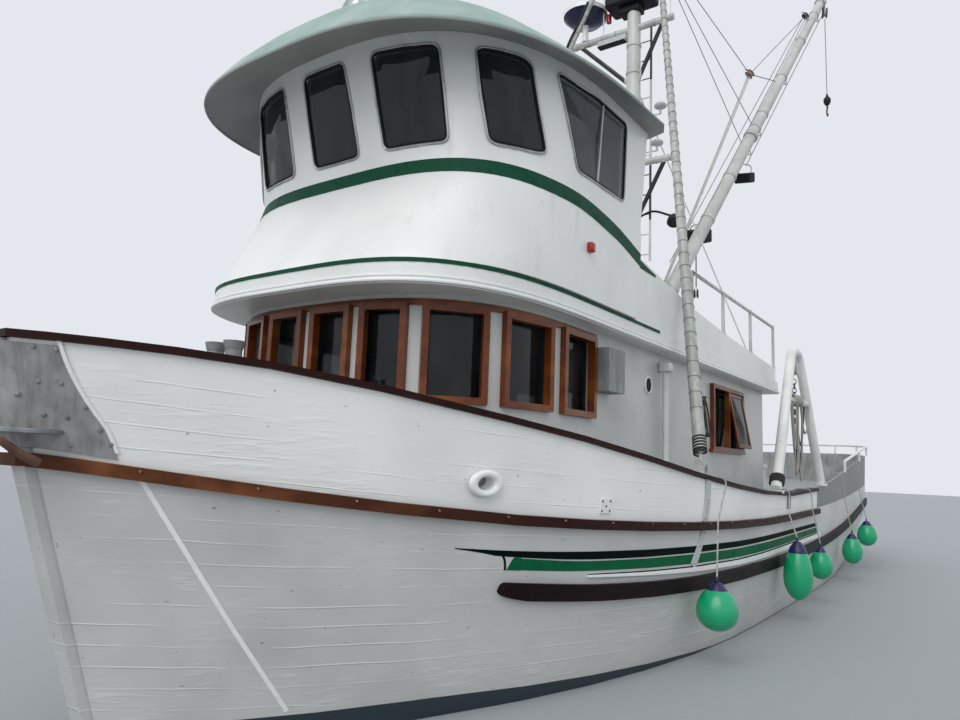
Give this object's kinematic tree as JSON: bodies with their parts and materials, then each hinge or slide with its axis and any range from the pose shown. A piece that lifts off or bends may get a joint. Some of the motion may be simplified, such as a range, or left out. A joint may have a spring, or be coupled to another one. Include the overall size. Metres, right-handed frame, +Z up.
{
  "type": "fishing trawler",
  "caption": "Timber fishing trawler with flared bow, white deckhouse and pilothouse, mast, cargo boom, outrigger poles, stern gallows, trawl winch, hinged doors, rudder and propeller.",
  "frame": {"origin": "amidships on the centreline at the waterline, the height at which the boat floats", "axes": "+X towards the bow, +Y to port, +Z up"},
  "size_m": [20.3841, 5.6381, 15.54],
  "materials": {
    "planking_white": "weathered gloss white paint over carvel planks",
    "house_white": "gloss white paint",
    "roof_green": "satin green paint",
    "varnished_timber": "varnish",
    "dark_timber": "worn oiled timber",
    "bare_steel": "dull bare plate",
    "galvanised": "weathered galvanising",
    "white_metal": "gloss white paint",
    "pole_aluminium": "dull aluminium tube",
    "bronze": "cast bronze",
    "rusty_iron": "rust",
    "bottom_paint": "matt bottom paint",
    "window_glass": "clear",
    "radome_blue": "gloss moulding",
    "fender_green": "satin inflated skin"
  },
  "bodies": {
    "boat": {"hull": "planking_white", "bulwark": "planking_white", "keel": "planking_white", "cap_rail": "varnished_timber", "guard": "varnished_timber", "lower_guard_port": "dark_timber", "lower_guard_starboard": "dark_timber", "stern_bulwark": "bare_steel", "deckhouse": "house_white", "deckhouse_aft": "house_white", "deckhouse_windows": "varnished_timber", "galley_window_port": "varnished_timber", "galley_window_starboard": "varnished_timber", "deckhouse_glass": "window_glass", "boat_deck": "house_white", "pilothouse": "house_white", "pilothouse_glass": "window_glass", "pilothouse_roof": "roof_green", "mast": "white_metal", "radome": "radome_blue", "shroud_port": "galvanised", "shroud_starboard": "galvanised", "boat_deck_bulwark_port": "house_white", "boat_deck_bulwark_starboard": "house_white", "boat_deck_rail_port": "galvanised", "boat_deck_rail_starboard": "galvanised", "helm_console": "dark_timber", "outrigger_step_port": "galvanised", "outrigger_step_starboard": "galvanised", "gallows_port": "white_metal", "gallows_starboard": "white_metal", "bow_plates": "bare_steel", "hawse_ring_port": "white_metal", "hawse_ring_starboard": "white_metal", "stern_rail": "white_metal", "bow_shelf": "bare_steel", "anchor": "rusty_iron", "windlass_frame": "galvanised", "foredeck_bitts": "galvanised", "winch_frame": "galvanised", "hatch_coaming": "house_white", "side_locker": "galvanised", "vent_pipe": "white_metal", "searchlight": "white_metal", "fender_1": "fender_green", "fender_2": "fender_green", "fender_3": "fender_green", "fender_4": "fender_green", "fender_5": "fender_green"},
    "aft_door": {"aft_door": "varnished_timber"},
    "pilothouse_door": {"pilothouse_door": "planking_white"},
    "boom_swivel": {"boom_swivel": "galvanised"},
    "boom": {"boom": "white_metal"},
    "outrigger_port": {"outrigger_port": "pole_aluminium"},
    "outrigger_starboard": {"outrigger_starboard": "pole_aluminium"},
    "rudder": {"rudder": "bottom_paint"},
    "propeller": {"propeller": "bronze"},
    "windlass_drum": {"windlass_drum": "rusty_iron"},
    "winch_drum": {"winch_drum": "galvanised"},
    "hatch_lid": {"hatch_lid": "house_white"}
  },
  "joints": [
    {"name": "propeller_turn", "type": "hinge", "parent": "boat", "child": "propeller", "pos_m": [-8.06, 0, -1.4], "axis": [1, 0, 0], "continuous": true},
    {"name": "rudder_turn", "type": "hinge", "parent": "boat", "child": "rudder", "pos_m": [-8.95, 0, -1.2], "axis": [0, 0, 1], "range_deg": [-35, 35]},
    {"name": "boom_slew", "type": "hinge", "parent": "boat", "child": "boom_swivel", "pos_m": [0.1, 0, 5], "axis": [0, 0, 1], "range_deg": [-37, 83]},
    {"name": "boom_topping", "type": "hinge", "parent": "boom_swivel", "child": "boom", "pos_m": [-0.6372, 0.3106, 5], "axis": [0.3884, 0.9215, 0], "range_deg": [-42, 15]},
    {"name": "outrigger_port_swing", "type": "hinge", "parent": "boat", "child": "outrigger_port", "pos_m": [3.68, 2.43, 2.092], "axis": [-1, 0, 0], "range_deg": [0, 65]},
    {"name": "outrigger_starboard_swing", "type": "hinge", "parent": "boat", "child": "outrigger_starboard", "pos_m": [3.68, -2.43, 2.092], "axis": [1, 0, 0], "range_deg": [0, 65]},
    {"name": "aft_door_swing", "type": "hinge", "parent": "boat", "child": "aft_door", "pos_m": [-1.8, -0.953, 2.5], "axis": [0, 0, 1], "range_deg": [0, 100]},
    {"name": "pilothouse_door_swing", "type": "hinge", "parent": "boat", "child": "pilothouse_door", "pos_m": [4.35, 0.247, 4.7], "axis": [0, 0, 1], "range_deg": [0, 100]},
    {"name": "windlass_turn", "type": "hinge", "parent": "boat", "child": "windlass_drum", "pos_m": [7.95, 0, 2.19], "axis": [0, 1, 0], "continuous": true},
    {"name": "winch_turn", "type": "hinge", "parent": "boat", "child": "winch_drum", "pos_m": [-2.95, 0, 2.13], "axis": [0, 1, 0], "continuous": true},
    {"name": "hatch_lid_swing", "type": "hinge", "parent": "boat", "child": "hatch_lid", "pos_m": [-6.09, 0, 2.126], "axis": [0, -1, 0], "range_deg": [0, 95]}
  ]
}
